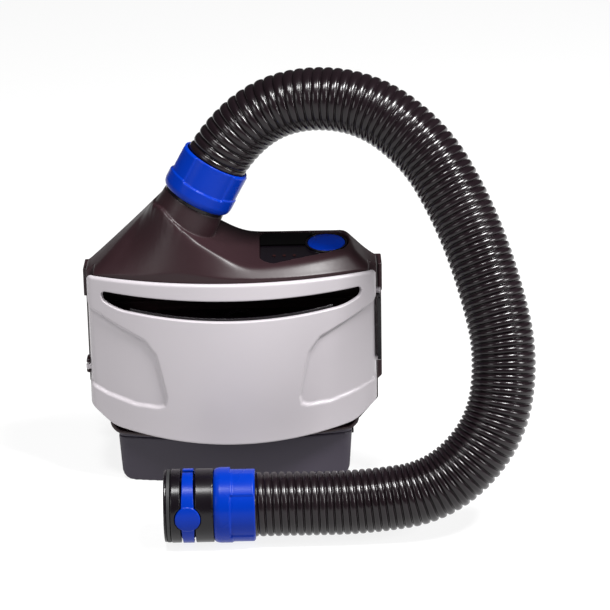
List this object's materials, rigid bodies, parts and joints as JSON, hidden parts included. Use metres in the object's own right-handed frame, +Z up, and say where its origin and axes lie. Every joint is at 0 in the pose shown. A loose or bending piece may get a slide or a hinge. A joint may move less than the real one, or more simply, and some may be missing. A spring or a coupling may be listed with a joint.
{
  "type": "powered air respirator",
  "caption": "Belt-worn powered air respirator: blower unit with curved filter cover, battery base, bayonet collars and a corrugated breathing tube ending in a quick-release connector.",
  "frame": {"origin": "bottom centre of the unit, on the flat base of the battery, breathing tube left out", "axes": "+Z up, -Y towards the filter cover, +Y towards the belt plate, +X to the viewer's right"},
  "size_m": [0.3096, 0.1993, 0.2945],
  "materials": {
    "dark_housing": "fine moulded texture",
    "black_plastic": "satin",
    "seal_rubber": "matt",
    "hose": "glossy",
    "blue_plastic": "satin gloss",
    "cover_plastic": "satin",
    "steel": "plain",
    "filter_paper": "pleated paper",
    "filter_felt": "felt",
    "white_plastic": "satin",
    "copper": "wound wire",
    "lens": "polished",
    "light_pipe": "polished",
    "board": "solder resist",
    "battery_plastic": "fine moulded texture",
    "cell_wrap": "shrink sleeve",
    "contacts": "plated"
  },
  "bodies": {
    "unit": {"upper_housing": "dark_housing", "rear_housing": "dark_housing", "filter_bulkhead": "dark_housing", "outlet_port": "black_plastic", "port_seal": "seal_rubber", "hose_cuff_upper": "black_plastic", "hose_tube": "hose", "hose_cuff_lower": "black_plastic", "hose_collar_lower": "blue_plastic", "filter_frame": "black_plastic", "filter_media": "filter_paper", "prefilter_pad": "filter_felt", "spark_screen": "steel", "filter_gasket": "seal_rubber", "blower_scroll": "black_plastic", "blower_back_plate": "black_plastic", "inlet_seal": "seal_rubber", "motor_bearings": "steel", "motor_stator": "copper", "outlet_duct": "black_plastic", "pocket_panel": "black_plastic", "display_lens": "lens", "indicator_lights": "light_pipe", "control_board": "board", "board_components": "black_plastic", "switch_dome": "seal_rubber", "sounder": "black_plastic", "vibration_motor": "steel", "bay_contacts": "contacts", "belt_plate": "dark_housing", "belt_plate_screws": "steel", "housing_screws": "steel", "cover_hinge_pin": "steel"},
    "blower_rotor": {"impeller": "white_plastic", "rotor_shaft": "steel", "rotor_bell": "steel"},
    "cover": {"filter_cover": "cover_plastic", "slot_trim": "black_plastic", "latch_pin": "steel"},
    "cover_latch_lever": {"cover_latch": "black_plastic"},
    "battery": {"battery_case": "battery_plastic", "battery_lid": "battery_plastic", "battery_cells": "cell_wrap", "cell_straps": "steel", "battery_contacts": "contacts", "battery_latch_pin": "steel"},
    "battery_latch_lever": {"battery_latch": "black_plastic"},
    "button": {"power_button": "blue_plastic"},
    "bayonet_collar": {"hose_collar_upper": "blue_plastic"},
    "connector": {"end_connector": "black_plastic", "connector_seal": "seal_rubber"},
    "release_front": {"release_pad_front": "blue_plastic"},
    "release_rear": {"release_pad_rear": "blue_plastic"}
  },
  "joints": [
    {"name": "blower_spin", "type": "hinge", "parent": "unit", "child": "blower_rotor", "pos_m": [0.014, 0.014, 0.086], "axis": [0, 1, 0], "continuous": true},
    {"name": "cover_hinge", "type": "hinge", "parent": "unit", "child": "cover", "pos_m": [-0.1019, -0.0085, 0.08175], "axis": [0, 0, -1], "range_deg": [0, 20]},
    {"name": "cover_latch_press", "type": "hinge", "parent": "cover", "child": "cover_latch_lever", "pos_m": [0.1022, -0.0061, 0.10815], "axis": [0, 0, 1], "range_deg": [0, 8], "stiffness_Nm_per_rad": 0.15, "springref_deg": -2.86},
    {"name": "battery_hinge", "type": "hinge", "parent": "unit", "child": "battery", "pos_m": [-0.0825, 0.006, 0.0363], "axis": [0, 1, 0], "range_deg": [0, 15]},
    {"name": "battery_latch_press", "type": "hinge", "parent": "battery", "child": "battery_latch_lever", "pos_m": [0.0802, 0, 0.019], "axis": [0, -1, 0], "range_deg": [0, 5], "stiffness_Nm_per_rad": 0.1, "springref_deg": -2.86},
    {"name": "power_button_press", "type": "slide", "parent": "unit", "child": "button", "axis": [0, 0.158, -0.9874], "range_m": [0, 0.0012], "stiffness_N_per_m": 800, "springref_m": -0.0005},
    {"name": "bayonet_twist", "type": "hinge", "parent": "unit", "child": "bayonet_collar", "pos_m": [-0.02135, -0.004, 0.20482], "axis": [-0.4848, 0, -0.8746], "range_deg": [0, 40]},
    {"name": "connector_swivel", "type": "hinge", "parent": "unit", "child": "connector", "pos_m": [-0.02, -0.129, 0.0255], "axis": [1, 0, 0], "continuous": true},
    {"name": "release_front_press", "type": "slide", "parent": "connector", "child": "release_front", "axis": [0, 1, 0], "range_m": [0, 0.0015], "stiffness_N_per_m": 600, "springref_m": -0.0005},
    {"name": "release_rear_press", "type": "slide", "parent": "connector", "child": "release_rear", "axis": [0, -1, 0], "range_m": [0, 0.0015], "stiffness_N_per_m": 600, "springref_m": -0.0005}
  ]
}
